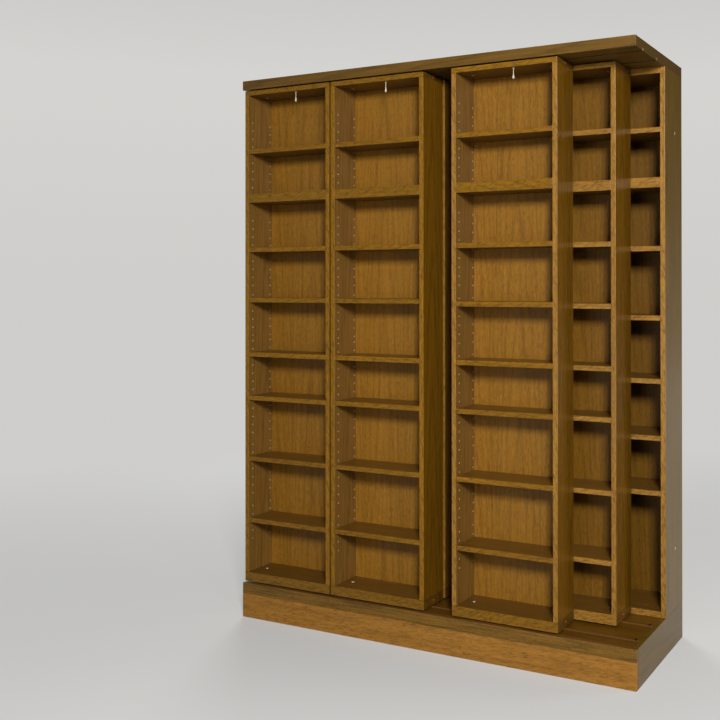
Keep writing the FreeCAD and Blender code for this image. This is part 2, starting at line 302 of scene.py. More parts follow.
kick_grain = Grain(streak=70, fibre=300, run=30, fleck=0.28, fleck_size=250, slant=0.12, ring_slope=1.2,
                   ring_depth=0.12, contrast=0.65)
kick_foil = oak_foil("kick_board_foil", X, kick_colours, 0.50, kick_grain)
put_on("kick_board", [plank(*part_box("plinth_front_board"), kick_edge)], [kick_foil], "base",
       ["plinth_front_board"])


# ---------------- deck edge strip
# The strip that covers the front edge of the deck, and is glued to it. It is board in an oak foil whose
# grain runs along the bookcase, greyer than the cabinets in front and redder on its upper face.

strip_colours = ((88, 61, 16), (141, 102, 35))
strip_top_colours = ((104, 65, 30), (130, 84, 42))
strip_edge = 0.0016

strip_foil = oak_foil("edge_strip_foil", X, strip_colours, 0.45, Grain(fleck=0.25, fleck_size=260))
strip_top_foil = oak_foil("edge_strip_top_foil", X, strip_top_colours, 0.50)
strip = plank(*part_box("deck_edge_strip"), strip_edge)
for face in strip.faces:
    face.material_index = 1 if face.normal.z > 0.9 else 0
put_on("deck_edge_strip_board", [strip], [strip_foil, strip_top_foil], "base",
       ["deck_edge_strip"])


# ---------------- plinth side boards
# Two boards on edge that close the plinth's ends. They carry the end panels above them and wear the
# same greyish oak foil, with the grain along the board.

end_colours = ((88, 63, 12), (126, 96, 28))
end_roughness = 0.32
end_gloss = 0.23
side_board_edge = 0.0018


class Solid:
    """One separate solid of a CAD node, known by its points."""

    def __init__(self, points):
        self.points = points
        self.low = Vector([min(p[a] for p in points) for a in (X, Y, Z)])
        self.high = Vector([max(p[a] for p in points) for a in (X, Y, Z)])
        self.size = self.high - self.low
        self.middle = (self.low + self.high) / 2
        self.foot = Vector((self.middle.x, self.middle.y, self.low.z))

    def order(self):
        """Solids are taken from left to right, then upwards, then from front to back."""
        return round(self.low.x, 4), round(self.low.z, 4), round(self.low.y, 4)


def solids_of(node):
    """The separate solids of a CAD node: the groups of corners that its faces join."""
    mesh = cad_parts[node].data
    grid = 1e5
    keys = {}
    number = []
    for vert in mesh.vertices:
        key = tuple(round(value * grid) for value in vert.co)
        number.append(keys.setdefault(key, len(keys)))
    root = list(range(len(keys)))

    def top(i):
        while root[i] != i:
            root[i] = root[root[i]]
            i = root[i]
        return i

    for polygon in mesh.polygons:
        first = top(number[polygon.vertices[0]])
        for corner in polygon.vertices[1:]:
            root[top(number[corner])] = first
    groups = {}
    for key, i in keys.items():
        groups.setdefault(top(i), []).append(Vector(key) / grid)
    return sorted([Solid(points) for points in groups.values()], key=Solid.order)


def planks_of(node, radius):
    """A softened board for each solid of a CAD node that is a plain board."""
    return [plank(solid.low, solid.high, radius) for solid in solids_of(node)]


side_board_foil = oak_foil("plinth_side_foil", Y, end_colours, end_roughness, gloss_level=end_gloss)
put_on("plinth_sides", planks_of("plinth_side_boards", side_board_edge), [side_board_foil], "base",
       ["plinth_side_boards"])


# ---------------- plinth rear board and bearers
# The hidden boards under the deck: one along the wall and three from front to back. They are bare
# chipboard, flecked with wood chips and left unfaced.

chip_colours = ((140, 108, 66), (196, 168, 122))
chip_relief = 0.0002
raw_edge = 0.0006


def bare_chipboard(name):
    """Unfaced chipboard: pale and darker chips pressed together."""
    finish = Finish(name)
    place = finish.board_place()
    chips = finish.add("TexVoronoi", {"Vector": finish.scaled(place, (170, 420, 420)), "Scale": 1.0})
    fine = finish.noise(place, (700, 900, 900), 2)
    chip_tone = finish.add("SeparateColor", {0: chips.outputs["Color"]}).outputs[0]
    share = finish.number("MULTIPLY_ADD", fine, 0.4, finish.number("MULTIPLY", chip_tone, 0.6))
    return finish.finished({"Base Color": finish.tint(share, chip_colours), "Roughness": 0.85},
                           chips.outputs["Distance"], chip_relief)


chipboard = bare_chipboard("bare_chipboard")
put_on("plinth_inner_boards", planks_of("plinth_rear_board_and_bearers", raw_edge), [chipboard], "base",
       ["plinth_rear_board_and_bearers"])


# ---------------- deck
# The board that the cabinets roll over. It is faced with dark oak foil, its grain along the bookcase,
# and has a groove for each floor rail.

deck_colours = ((76, 49, 5), (127, 86, 19))
deck_edge = 0.0006


def grooved_plank(low, high, face, grooves, radius):
    """A board along X with grooves in its top or underside, at the level face.

    grooves holds the front, rear and bottom of each groove, from the front one back.
    """
    back = high.z if face == low.z else low.z
    outline = [(high.y, face), (high.y, back), (low.y, back), (low.y, face)]
    for front, rear, bottom in grooves:
        outline += [(front, face), (front, bottom), (rear, bottom), (rear, face)]
    return rounded(prism(outline, X, low.x, high.x), radius)


low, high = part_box("deck")
rails = sorted(solids_of("floor_rails"), key=lambda rail: rail.low.y)
rail_grooves = [(rail.low.y, rail.high.y, rail.low.z) for rail in rails]
deck_foil = oak_foil("deck_foil", X, deck_colours, 0.38)
put_on("deck_board", [grooved_plank(low, high, high.z, rail_grooves, deck_edge)], [deck_foil], "base",
       ["deck"])


# ---------------- floor rails
# Two slim rails let into the deck, one under each rolling row. They are drawn steel, painted brown,
# with a rounded top that the wheels' treads run on.

rail_colours = ((88, 55, 21), (114, 72, 31))
rail_edge = 0.0014
paint_relief = 0.00003


def worn_paint(name, colours, roughness, gloss_level):
    """Paint on metal, a little streaked and polished along its length by the wheels."""
    finish = Finish(name)
    streaks = finish.noise(finish.board_place(), (4, 700, 700), 3, 0.6)
    colour = finish.tint(finish.between(streaks, 0.35, 0.65), colours)
    gloss = finish.between(streaks, 0.3, 0.7, roughness - 0.08, roughness + 0.10)
    return finish.finished({"Base Color": colour, "Roughness": gloss, "Specular IOR Level": gloss_level},
                           streaks, paint_relief)


rail_paint = worn_paint("rail_paint", rail_colours, 0.62, 0.2)
put_on("rails", planks_of("floor_rails", rail_edge), [rail_paint], "base", ["floor_rails"])


# ---------------- rail end stops
# Four dark brown rubber buttons, pressed on pins at the ends of the rails, which the wheel housings
# meet.

stop_colours = ((34, 20, 12), (50, 32, 20))
moulded_relief = 0.00002
round_sides = 24


def circle(centre, radius, sides=round_sides):
    """Points round a centre, as pairs."""
    return [(centre[0] + radius * math.cos(2 * math.pi * i / sides),
             centre[1] + radius * math.sin(2 * math.pi * i / sides)) for i in range(sides)]


def turned(profile, axis, start):
    """A solid of revolution. profile is a list of (distance along the axis, radius) from its start."""
    bm = bmesh.new()
    centre = [start[a] for a in (X, Y, Z) if a != axis]
    rings = [ring_of(bm, circle(centre, radius, round_sides if radius > 0 else 1), axis, start[axis] + along)
             for along, radius in profile]
    for one, other in zip(rings, rings[1:]):
        wall(bm, one, other)
    for ring in (rings[0], rings[-1]):
        if len(ring) > 1:
            bm.faces.new(ring)
    for face in facing_out(bm).faces:
        face.smooth = True
    for edge in bm.edges:
        edge.smooth = edge.calc_face_angle(0) < math.radians(35)
    return bm


def button(height, radius, axis, start, way=1):
    """A disc with a domed rim, standing on its start along an axis. way is +1 or -1."""
    rim = min(height * 0.6, radius * 0.3)
    profile = [(0, radius), (height - rim, radius)]
    for step in (1, 2, 3):
        turn = math.radians(30 * step)
        profile.append((height - rim + rim * math.sin(turn), radius - rim + rim * math.cos(turn)))
    profile.append((height, 0))
    return turned([(way * along, size) for along, size in profile], axis, start)


def moulded(name, colours, roughness, gloss_level=0.4):
    """Moulded rubber or plastic: an even colour with a very fine mottle and a faint orange peel."""
    finish = Finish(name)
    place = finish.board_place()
    mottle = finish.noise(place, (900, 900, 900), 2)
    cloud = finish.noise(place, (60, 60, 60), 2)
    share = finish.number("MULTIPLY_ADD", mottle, 0.5, finish.number("MULTIPLY", cloud, 0.5))
    colour = finish.tint(finish.between(share, 0.35, 0.65), colours)
    gloss = finish.number("MULTIPLY_ADD", mottle, 0.1, roughness - 0.05)
    return finish.finished({"Base Color": colour, "Roughness": gloss, "Specular IOR Level": gloss_level},
                           mottle, moulded_relief)


stop_rubber = moulded("stop_rubber", stop_colours, 0.8, 0.1)
stop_buttons = [button(stop.size.z, stop.size.x / 2, Z, stop.foot) for stop in solids_of("rail_end_stops")]
put_on("rail_stops", stop_buttons, [stop_rubber], "base", ["rail_end_stops"])


# ---------------- back row: end panels
# The two tall panels at the ends of the fixed row. Their outer faces wear the greyish foil, their
# inner faces the cabinets' golden one, with two rows of bushed holes for the shelf pins.

face_colours = ((101, 70, 23), (141, 102, 46))
band_colours = ((125, 87, 27), (170, 123, 49))
bush_colours = ((160, 132, 88), (178, 150, 104))
panel_edge = 0.0011
hole_sides = 12
hole_side_margin = 0.010
hole_end_margin = 0.004
bush_radius = 0.0040
bush_wall_radius = 0.0036
bush_bore_radius = 0.0031
bush_length = 0.008
bush_proud = 0.0003
bore_depth = 0.009
cap_recess = 0.0012
INNER, BAND, OUTER = 0, 1, 2


def hole_centres(solid, face):
    """Middles (Y, Z) of the pin holes in an upright's face at X = face."""
    low, high = solid.low, solid.high
    rims = [(p.y, p.z) for p in solid.points if abs(p.x - face) < 1e-5
            and low.y + hole_side_margin < p.y < high.y - hole_side_margin
            and low.z + hole_end_margin < p.z < high.z - hole_end_margin]
    columns = []
    for y, z in sorted(rims):
        if not columns or y - columns[-1][-1][0] > 0.010:
            columns.append([])
        columns[-1].append((y, z))
    centres = []
    for column in columns:
        y = (column[0][0] + column[-1][0]) / 2
        group = []
        for z in sorted(z for _, z in column) + [math.inf]:
            if group and z - group[-1] > 0.008:
                centres.append((y, (group[0] + group[-1]) / 2))
                group = []
            group.append(z)
    return centres


def pocketed(bm, axis, way, pockets):
    """Sinks pockets into the largest face that looks along an axis. Each is (outline, depth)."""
    faces = [f for f in bm.faces if f.normal[axis] * way > 0.99]
    face = max(faces, key=lambda f: f.calc_area())
    level = face.verts[0].co[axis]
    material = face.material_index
    edges = list(face.edges)
    bmesh.ops.delete(bm, geom=[face], context="FACES_ONLY")
    for outline, depth in pockets:
        rim, floor = ring_of(bm, outline, axis, level), ring_of(bm, outline, axis, level - way * depth)
        bm.faces.new(floor)
        wall(bm, rim, floor)
        edges += [bm.edges.get(pair) for pair in zip(rim, rim[1:] + rim[:1])]
    filled = bmesh.ops.triangle_fill(bm, use_beauty=True, use_dissolve=False, edges=edges)
    for element in filled["geom"]:
        if isinstance(element, bmesh.types.BMFace):
            element.material_index = material
    return facing_out(bm)


def upright(solid, inner_faces, rebate_side=0):
    """A side panel or divider with its pin holes, and its rebate for the back sheet if it has one.

    inner_faces holds (X of a drilled face, the way it looks). rebate_side is the way the rebated side
    looks.
    """
    low, high = solid.low, solid.high
    outline = rectangle(low.x, low.y, high.x, high.y)
    if rebate_side:
        inner = high.x if rebate_side > 0 else low.x
        steps = [p for p in solid.points if low.x + 0.002 < p.x < high.x - 0.002 and high.y - p.y < 0.010]
        step_x, step_y = steps[0].x, min(p.y for p in steps)
        corner = outline.index((inner, high.y))
        notch = [(inner, step_y), (step_x, step_y), (step_x, high.y)]
        outline[corner:corner + 1] = notch if rebate_side > 0 else notch[::-1]
    bm = rounded(prism(outline, Z, low.z, high.z), panel_edge)
    holes = []
    for face, way in inner_faces:
        centres = hole_centres(solid, face)
        bores = [(circle(centre, bush_wall_radius, hole_sides), bore_depth) for centre in centres]
        pocketed(bm, X, way, bores)
        holes += [(face, way, centre) for centre in centres]
    return bm, holes


def bush(face, way, centre):
    """The thin flanged bush pressed into a pin hole."""
    profile = [(-bush_length * way, bush_bore_radius), (bush_proud * way, bush_bore_radius),
               (bush_proud * way, bush_radius - 0.0003), (bush_proud * 0.4 * way, bush_radius),
               (0, bush_radius), (0, bush_wall_radius), (-bush_length * way, bush_wall_radius)]
    bm = bmesh.new()
    rings = [ring_of(bm, circle(centre, radius, hole_sides), X, face + along) for along, radius in profile]
    for one, other in zip(rings, rings[1:] + rings[:1]):
        wall(bm, one, other)
    return facing_out(bm)


def foil_front(name, along, colours):
    """The edge band of a board: an oak tape, more golden than the foil, with dark slanting flecks."""
    grain = Grain(streak=160, fibre=600, run=24, fleck=0.38, fleck_size=250, slant=0.45, ring_slope=12,
                  ring_depth=0.22)
    return oak_foil(name, along, colours, 0.36, grain)


def outer_side_marked(panel, outward):
    """The same panel, with its outer face in the third material of its list."""
    for face in panel.faces:
        face.material_index = OUTER if face.normal.x * outward > 0.5 else INNER
    return panel


end_foil = oak_foil("end_panel_foil", Z, end_colours, end_roughness, gloss_level=end_gloss)
inner_foil = oak_foil("upright_foil", Z, face_colours, 0.36)
upright_band = foil_front("upright_edge_band", Z, band_colours)
bush_plastic = moulded("bush_plastic", bush_colours, 0.6)

end_panels = []
row_bushes = []
end_caps = [solid for solid in solids_of("back_row_pins_and_caps") if solid.size.y > 0.010]
for solid in solids_of("back_row_end_panels"):
    outward = 1 if solid.high.x > 0 else -1
    inner = solid.low.x if outward > 0 else solid.high.x
    panel, holes = upright(solid, [(inner, -outward)], -outward)
    pocketed(panel, X, outward, [(circle((cap.middle.y, cap.middle.z), cap.size.y / 2), cap_recess)
                                 for cap in end_caps if cap.low.x * outward > 0])
    end_panels.append(outer_side_marked(panel, outward))
    row_bushes += [bush(*hole) for hole in holes]
put_on("end_panels", end_panels, [inner_foil, upright_band, end_foil], "base",
       ["back_row_end_panels"], BAND)


# ---------------- back row: dividers
# Three uprights between the four columns, drilled from both faces, with a bush in every hole.

dividers = []
for solid in solids_of("back_row_dividers"):
    divider, holes = upright(solid, [(solid.low.x, -1), (solid.high.x, 1)])
    dividers.append(divider)
    row_bushes += [bush(*hole) for hole in holes]
put_on("row_dividers", dividers, [inner_foil, upright_band], "base", ["back_row_dividers"],
       BAND)
put_on("row_bushes", row_bushes, [bush_plastic], "base")


# ---------------- back row: top and bottom boards
# The boards that close the row above and below, their grain along the bookcase. Countersinks in the
# top board's underside take the screws that hold the top panel.

level_colours = ((88, 59, 13), (126, 87, 30))
level_band_colours = ((126, 87, 27), (171, 123, 50))
head_radius = 0.0046
head_depth = 0.0025

level_foil = oak_foil("level_board_foil", X, level_colours, 0.38)
level_band = foil_front("level_edge_band", X, level_band_colours)
row_boards = []
for solid in solids_of("back_row_top_and_bottom"):
    board = plank(solid.low, solid.high, panel_edge)
    if solid.low.z > 1:
        pocketed(board, Z, -1, [(circle(screw.middle, head_radius), head_depth)
                                for screw in solids_of("top_panel_screws")])
    row_boards.append(board)
put_on("row_top_and_bottom", row_boards, [level_foil, level_band], "base",
       ["back_row_top_and_bottom"], BAND)


# ---------------- back row: shelves
# A thick fixed shelf in each column, doweled to the uprights, and six loose ones that lie on pins.

shelf_colours = ((94, 63, 14), (134, 93, 33))
shelf_edge = 0.0009

shelf_foil = oak_foil("shelf_foil", X, shelf_colours, 0.40)
shelf_band = foil_front("shelf_edge_band", X, band_colours)
put_on("row_thick_shelves", planks_of("back_row_thick_shelves", shelf_edge), [shelf_foil, level_band],
       "base", ["back_row_thick_shelves"], BAND)
put_on("row_loose_shelves", planks_of("back_row_loose_shelves", shelf_edge), [shelf_foil, shelf_band],
       "base", ["back_row_loose_shelves"], BAND)


# ---------------- back row: pins and caps
# Brown nylon pins with rounded ends, four under each loose shelf, and the pale flat caps that cover
# the fixing screws in the outer faces of the end panels.

pin_colours = ((92, 68, 36), (112, 86, 48))
cap_colours = ((186, 172, 140), (206, 194, 162))
pin_nose = 0.0012
pin_most = 0.007
cap_play = 0.0001

pin_plastic = moulded("pin_plastic", pin_colours, 0.6)
cap_plastic = moulded("cap_plastic", cap_colours, 0.5)


def pin_shape(solid):
    """A round pin along X with rounded ends."""
    flat = solid.size.z / 2 - pin_nose
    profile = [(0, 0), (0.0001, flat)]
    for step in (1, 2):
        turn = math.radians(45 * step)
        profile.append((pin_nose * (1 - math.cos(turn)) + 0.0001, flat + pin_nose * math.sin(turn)))
    profile += [(solid.size.x - along, size) for along, size in profile[::-1]]
    return turned(profile, X, (solid.low.x, solid.middle.y, solid.middle.z))


def pins_among(node):
    """The shelf pins among a CAD node's solids: the ones that are far longer than they are thick."""
    return [pin_shape(solid) for solid in solids_of(node)
            if solid.size.z < pin_most and solid.size.x > 2 * solid.size.z]


put_on("row_pins", pins_among("back_row_pins_and_caps"), [pin_plastic], "base",
       ["back_row_pins_and_caps"])
caps = []
for cap in end_caps:
    way = 1 if cap.high.x > 0 else -1
    start = cap.high.x - cap_recess if way > 0 else cap.low.x + cap_recess
    caps.append(button(cap_recess, cap.size.y / 2 - cap_play, X, (start, cap.middle.y, cap.middle.z), way))
put_on("screw_caps", caps, [cap_plastic], "base", ["back_row_pins_and_caps"])


# ---------------- back row: back sheet
# A thin printed sheet in the rebates of the end panels, which keeps the row square. Its print is a darker
# copy of the cabinets' sheets: painted shade for the deepest row, where less light reaches.

# A darker copy of the front row's sheet colours: painted shade for the back row.
shaded_row_sheet_colours = ((87, 57, 6), (127, 87, 19))
sheet_edge = 0.0003
sheet_grain = Grain(streak=95, fibre=340, run=44, fleck=0.20, fleck_size=300, ring_depth=0.22,
                    contrast=0.55)


def sheet_print(name, colours):
    """The oak print of a back sheet: broad soft streaks and few flecks."""
    return oak_foil(name, Z, colours, 0.42, sheet_grain)


shaded_row_sheet_print = sheet_print("shaded_row_sheet_print", shaded_row_sheet_colours)
put_on("row_back_sheet", planks_of("back_row_back_sheet", sheet_edge), [shaded_row_sheet_print], "base",
       ["back_row_back_sheet"])


# ---------------- top panel
# The thick panel over all three rows. It is faced with dark foil, its grain along the bookcase, and
# has a groove in its underside for each guide channel.

top_colours = ((74, 52, 14), (106, 77, 26))
top_edge = 0.0008

top_foil = oak_foil("top_panel_foil", X, top_colours, 0.42)
low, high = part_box("top_panel")
channels = sorted(solids_of("top_guide_channels"), key=lambda channel: channel.low.y)
grooves = [(channel.low.y, channel.high.y, channel.high.z) for channel in channels]
put_on("top_board", [grooved_plank(low, high, low.z, grooves, top_edge)], [top_foil], "base",
       ["top_panel"])


# ---------------- top edge strip
# The square strip glued along the top panel's front edge, in a slightly lighter foil.

edge_strip_colours = ((79, 55, 14), (115, 83, 28))

edge_strip_foil = oak_foil("top_edge_foil", X, edge_strip_colours, 0.42)
put_on("top_edge", planks_of("top_edge_strip", top_edge), [edge_strip_foil], "base",
       ["top_edge_strip"])


# ---------------- guide channels
# Two extruded plastic channels in the top panel's underside, which the cabinets' guide pins run in,
# each closed with a pale plug at its ends.

channel_colours = ((52, 38, 20), (70, 52, 30))
channel_wall = 0.0020
channel_edge = 0.0003
plug_colours = ((158, 136, 92), (176, 154, 108))
plug_depth = 0.004
plug_play = 0.0001
plug_lift = 0.0004
plug_edge = 0.0006

channel_plastic = moulded("channel_plastic", channel_colours, 0.4)
channel_bars = []
for channel in channels:
    low, high = channel.low, channel.high
    outline = [(low.y, low.z), (low.y, high.z), (high.y, high.z), (high.y, low.z),
               (high.y - channel_wall, low.z), (high.y - channel_wall, high.z - channel_wall),
               (low.y + channel_wall, high.z - channel_wall), (low.y + channel_wall, low.z)]
    channel_bars.append(rounded(prism(outline, X, low.x, high.x), channel_edge, 1))
put_on("guide_channels", channel_bars, [channel_plastic], "base", ["top_guide_channels"])

plug_plastic = moulded("plug_plastic", plug_colours, 0.5)
plugs = []
gap = channel_wall + plug_play
for channel in channels:
    low, high = channel.low, channel.high
    for left, right in ((low.x, low.x + plug_depth), (high.x - plug_depth, high.x)):
        plugs.append(plank((left, low.y + gap, low.z + plug_lift), (right, high.y - gap, high.z - gap),
                           plug_edge))
put_on("channel_plugs", plugs, [plug_plastic], "base", ["top_guide_channels"])


# ---------------- top panel screws
# Eight zinc-plated screws with cross recesses, driven up through the back row's top board.

screw_colours = ((168, 168, 160), (196, 194, 182))
head_play = 0.0001
head_rim = 0.0006
screw_neck = 0.0026
screw_core = 0.0019
thread_radius = 0.0025
thread_pitch = 0.0020
thread_end = 0.008
screw_tip = 0.005
cross_reach, cross_arm, cross_depth = 0.0026, 0.0006, 0.0016


def plated_metal(name, colours, roughness):
    """Plated steel with fine turning marks."""
    finish = Finish(name)
    marks = finish.noise(finish.board_place(), (900, 900, 2600), 2, 0.6)
    colour = finish.tint(finish.between(marks, 0.35, 0.65), colours)
    gloss = finish.between(marks, 0.3, 0.7, roughness - 0.08, roughness + 0.08)
    return finish.finished({"Base Color": colour, "Roughness": gloss, "Metallic": 1.0}, marks, moulded_relief)


def cross(centre, reach, arm):
    """The outline of a cross recess."""
    points = []
    for quarter in range(4):
        for first, second in ((reach, arm), (arm, arm), (arm, reach)):
            for _ in range(quarter):
                first, second = -second, first
            points.append((centre[0] + first, centre[1] + second))
    return points


screws = []
for solid in solids_of("top_panel_screws"):
    length = solid.size.z
    head = solid.size.x / 2 - head_play
    profile = [(0, head), (head_rim, head), (head_depth, screw_neck)]
    along = head_depth
    while along < length - thread_end:
        profile += [(along + 0.0006, screw_core), (along + 0.0013, thread_radius)]
        along += thread_pitch
    profile += [(length - screw_tip, screw_core), (length, 0)]
    recess = cross(solid.middle, cross_reach, cross_arm)
    screws.append(pocketed(turned(profile, Z, solid.foot), Z, -1, [(recess, cross_depth)]))
plated_steel = plated_metal("plated_steel", screw_colours, 0.35)
put_on("panel_screws", screws, [plated_steel], "base", ["top_panel_screws"])


# ---------------- cabinets: side panels
# Six cabinets roll in two rows. Each has two drilled side panels, rebated for the back sheet, which
# stand on its thick bottom board and carry its top board.

cabinets = ["front_cabinet_1", "front_cabinet_2", "front_cabinet_3",
            "middle_cabinet_1", "middle_cabinet_2", "middle_cabinet_3"]
side_colours = ((94, 61, 6), (126, 86, 17))
# The two left front cabinets' upright bands are a darker copy of the band colours: painted shade, where less
# light falls on the left of the bookcase.
shaded_band_colours = ((115, 76, 6), (158, 111, 20))

side_foil = oak_foil("side_panel_foil", Z, side_colours, 0.28)
shaded_front_band = foil_front("shaded_front_upright_band", Z, shaded_band_colours)
upright_bands = [shaded_front_band] * 2 + [upright_band] * 4


def put_on_cabinet(cabinet, part, boards, materials, node="fittings",
                   front_material=None):
    """Puts a piece on a cabinet, where it stands for one of the cabinet's CAD nodes, or for none."""
    replaced = [cabinet + "_" + node] if node else []
    put_on(cabinet + "." + part, boards, materials, cabinet, replaced, front_material)


for cabinet, band in zip(cabinets, upright_bands):
    panels = []
    bushes = []
    for solid, way in zip(solids_of(cabinet + "_side_panels"), (1, -1)):
        inner = solid.high.x if way > 0 else solid.low.x
        panel, holes = upright(solid, [(inner, way)], way)
        panels.append(outer_side_marked(panel, -way))
        bushes += [bush(*hole) for hole in holes]
    put_on_cabinet(cabinet, "sides", panels, [inner_foil, band, side_foil], "side_panels", BAND)
    put_on_cabinet(cabinet, "bushes", bushes, [bush_plastic], None)


# ---------------- cabinets: top, bottom and thick shelf
# The fixed boards of each cabinet. Pockets in the underside of the thick bottom board take the wheel
# housings.

board_end_colours = ((82, 54, 8), (110, 77, 20))
front_level_colours = ((111, 74, 6), (152, 107, 20))
# The two left front cabinets' board bands are a darker copy: painted shade, where less light falls on the
# left of the bookcase.
shaded_level_colours = ((102, 68, 5), (140, 98, 17))

end_band = foil_front("board_end_band", Y, board_end_colours)
front_level_band = foil_front("front_level_band", X, front_level_colours)
shaded_level_band = foil_front("shaded_level_band", X, shaded_level_colours)
level_bands = [shaded_level_band] * 2 + [front_level_band] + [level_band] * 3


def fittings_of(cabinet, fits):
    """The solids among a cabinet's fittings whose size fits."""
    return [solid for solid in solids_of(cabinet + "_fittings") if fits(solid.size)]


def housings_of(cabinet):
    """A cabinet's wheel housings, each with the front and rear of the block above its plate."""
    housings = []
    for solid in fittings_of(cabinet, lambda size: size.x > 0.040):
        block = [p.y for p in solid.points if p.z > solid.high.z - 0.001]
        housings.append((solid, min(block), max(block)))
    return housings


for cabinet, band in zip(cabinets, level_bands):
    boards = []
    housings = housings_of(cabinet)
    for solid in sorted(solids_of(cabinet + "_top_bottom_and_thick_shelf"), key=lambda solid: solid.low.z):
        board = plank(solid.low, solid.high, panel_edge)
        if solid.low.z < housings[0][0].high.z:
            pockets = []
            for house, front, rear in housings:
                mouth = rectangle(house.low.x, front, house.high.x, rear)
                pockets.append((mouth, house.high.z - solid.low.z))
            pocketed(board, Z, -1, pockets)
        for face in board.faces:
            face.material_index = OUTER if abs(face.normal.x) > 0.5 else INNER
        boards.append(board)
    put_on_cabinet(cabinet, "boards", boards, [level_foil, band, end_band], "top_bottom_and_thick_shelf",
                   BAND)


# ---------------- cabinets: loose shelves
# Seven shelves in each cabinet, banded along their front edge, which lie on pins and lift out.

front_shelf_colours = ((112, 74, 6), (152, 106, 19))

front_shelf_band = foil_front("front_shelf_band", X, front_shelf_colours)
for cabinet, band in zip(cabinets, [front_shelf_band] * 3 + [shelf_band] * 3):
    put_on_cabinet(cabinet, "shelves", planks_of(cabinet + "_loose_shelves", shelf_edge), [shelf_foil, band],
                   "loose_shelves", BAND)


# ---------------- cabinets: back sheets
# A thin printed sheet in the rebates of each cabinet's side panels, its grain upright. The middle
# row's sheets are a darker copy of the front row's print: painted shade for the deeper row.

front_sheet_colours = ((113, 75, 15), (162, 113, 37))
# A darker copy of the front row's colours: painted shade, where less light reaches the middle row.
shaded_middle_sheet_colours = ((95, 62, 8), (138, 95, 24))

front_sheet_print = sheet_print("front_sheet_print", front_sheet_colours)
shaded_middle_sheet_print = sheet_print("shaded_middle_sheet_print", shaded_middle_sheet_colours)
for cabinet, sheet in zip(cabinets, [front_sheet_print] * 3 + [shaded_middle_sheet_print] * 3):
    put_on_cabinet(cabinet, "back", planks_of(cabinet + "_back_sheet", sheet_edge), [sheet], "back_sheet")


# ---------------- cabinets: shelf pins
# The same brown pins as in the back row, four under each loose shelf.

for cabinet in cabinets:
    put_on_cabinet(cabinet, "pins", pins_among(cabinet + "_fittings"), [pin_plastic])


# ---------------- cabinets: wheel housings
# A moulded housing round each wheel, let into the bottom board, with a plate that is screwed under it.

housing_colours = ((44, 40, 36), (62, 57, 52))
housing_edge = 0.0005
plate_thickness = 0.0024
cavity_play = 0.0015
flange_thickness = 0.0020
wheel_play = 0.0003
tread_half_width = rails[0].size.y / 2 + wheel_play
wheel_half_width = tread_half_width + flange_thickness

housing_plastic = moulded("housing_plastic", housing_colours, 0.5)


def wheel_sizes(cabinet, side):
    """A wheel's middle, its radius over the flanges, and half the length of its axle."""
    low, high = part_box(cabinet + "_" + side + "_wheel")
    return (low + high) / 2, (high.z - low.z) / 2, (high.y - low.y) / 2


for cabinet in cabinets:
    shells = []
    wheel, radius = wheel_sizes(cabinet, "left")[:2]
    half_length = radius + cavity_play
    half_width = wheel_half_width + cavity_play
    for solid, front, rear in housings_of(cabinet):
        low, high = solid.low, solid.high
        shoulder = low.z + plate_thickness
        outline = [(low.y, low.z), (high.y, low.z), (high.y, shoulder), (rear, shoulder), (rear, high.z),
                   (front, high.z), (front, shoulder), (low.y, shoulder)]
        shell = rounded(prism(outline, X, low.x, high.x), housing_edge, 1)
        x, y = solid.middle.x, solid.middle.y
        mouth = rectangle(x - half_length, y - half_width, x + half_length, y + half_width)
        shells.append(pocketed(shell, Z, -1, [(mouth, wheel.z + half_length - low.z)]))
    put_on_cabinet(cabinet, "housings", shells, [housing_plastic])


# ---------------- cabinets: caps on the bottom board
# A cap over the screw that sets the height of each wheel, white on the left and brown on the right.

white_colours = ((188, 178, 146), (208, 198, 168))
brown_colours = ((92, 62, 24), (112, 78, 34))
round_least, round_most = 0.011, 0.013
cap_head = 0.0015

white_plastic = moulded("white_plastic", white_colours, 0.5)
brown_plastic = moulded("brown_plastic", brown_colours, 0.5)
for cabinet in cabinets:
    covers = []
    for cap in fittings_of(cabinet, lambda size: round_least < size.x < round_most and size.z < 0.010):
        start = (cap.middle.x, cap.middle.y, cap.high.z - cap_head)
        covers.append(button(cap_head, cap.size.x / 2, Z, start))
    put_on_cabinet(cabinet, "left_cap", covers[:1], [white_plastic])
    put_on_cabinet(cabinet, "right_cap", covers[1:], [brown_plastic])


# ---------------- cabinets: guide pins
# Two nylon pins stand out of each cabinet's top board into the channel above. Their heads are seen
# from below, under the board.

guide_colours = ((150, 134, 100), (170, 152, 116))
guide_head = 0.0020

guide_nylon = moulded("guide_nylon", guide_colours, 0.5)
for cabinet in cabinets:
    guides = []
    for pin in fittings_of(cabinet, lambda size: round_least < size.x < round_most and size.z > 0.020):
        head, length = pin.size.x / 2, pin.size.z
        shank = max(p.x for p in pin.points if p.z > pin.high.z - 0.001) - pin.middle.x
        profile = [(0, head * 0.55), (0.0003, head * 0.80), (0.0009, head * 0.97), (guide_head, head),
                   (guide_head, shank), (length - 0.0012, shank), (length - 0.0004, shank - 0.0004),
                   (length, shank - 0.0012)]
        guides.append(turned(profile, Z, pin.foot))
    put_on_cabinet(cabinet, "guides", guides, [guide_nylon])


# ---------------- cabinets: bumpers
# Two soft orange-red buttons on each cabinet's right side, which meet the next cabinet.

bumper_colours = ((116, 48, 14), (138, 62, 20))

bumper_rubber = moulded("bumper_rubber", bumper_colours, 0.6, 0.2)
for cabinet in cabinets:
    bumpers = []
    for solid in fittings_of(cabinet, lambda size: size.x < 0.004):
        start = (solid.low.x, solid.middle.y, solid.middle.z)
        bumpers.append(button(solid.size.x, solid.size.z * 0.4, X, start))
    put_on_cabinet(cabinet, "bumpers", bumpers, [bumper_rubber])


# ---------------- front cabinets: levers
# The white lever behind the front edge of each front cabinet's top board: a collar, a slim waisted
# stem and a rounded tip, moulded in one.

lever_tip = 0.0044
lever_stem = 0.0015

